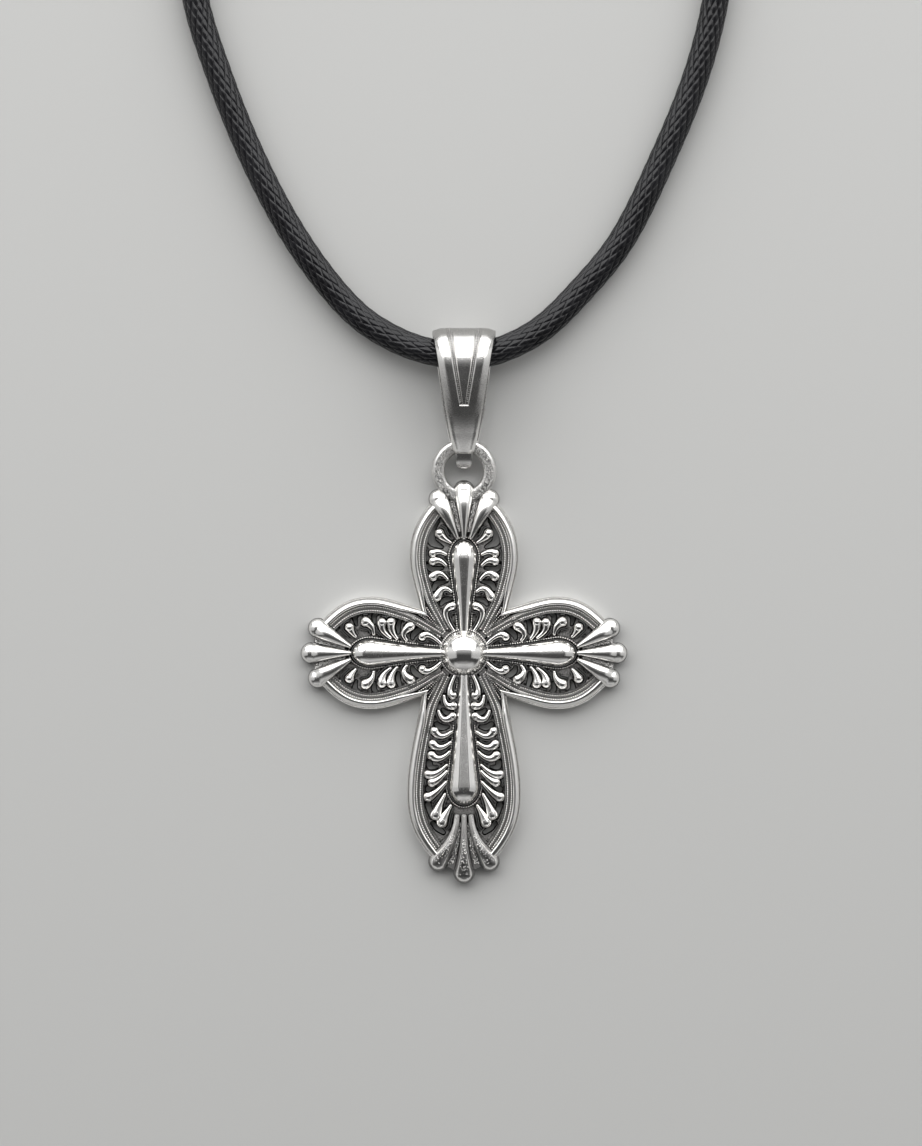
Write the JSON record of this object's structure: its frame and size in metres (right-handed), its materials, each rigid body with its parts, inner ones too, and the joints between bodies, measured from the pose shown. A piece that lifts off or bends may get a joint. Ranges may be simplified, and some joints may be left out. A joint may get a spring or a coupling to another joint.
{
  "type": "cross necklace",
  "caption": "Openwork cast cross pendant with raised rims, ribs and teardrop bosses, hung by a ring and a folded bail on a round braided black cord that closes with a barrel clasp",
  "frame": {"origin": "under the middle of the pendant (the cross with its ring and bail), on the surface that it lies on", "axes": "X runs across the cross's arms, Y from the cross's foot to the bail, Z out of the front face"},
  "size_m": [0.0676, 0.226, 0.0076],
  "materials": {
    "antique_silver": "polished silver tone with darkened recesses",
    "black_cord": "waxed round braid with a soft sheen"
  },
  "bodies": {
    "root": {"cross": "antique_silver", "bail": "antique_silver", "cord": "black_cord", "clasp": "antique_silver"}
  },
  "joints": []
}
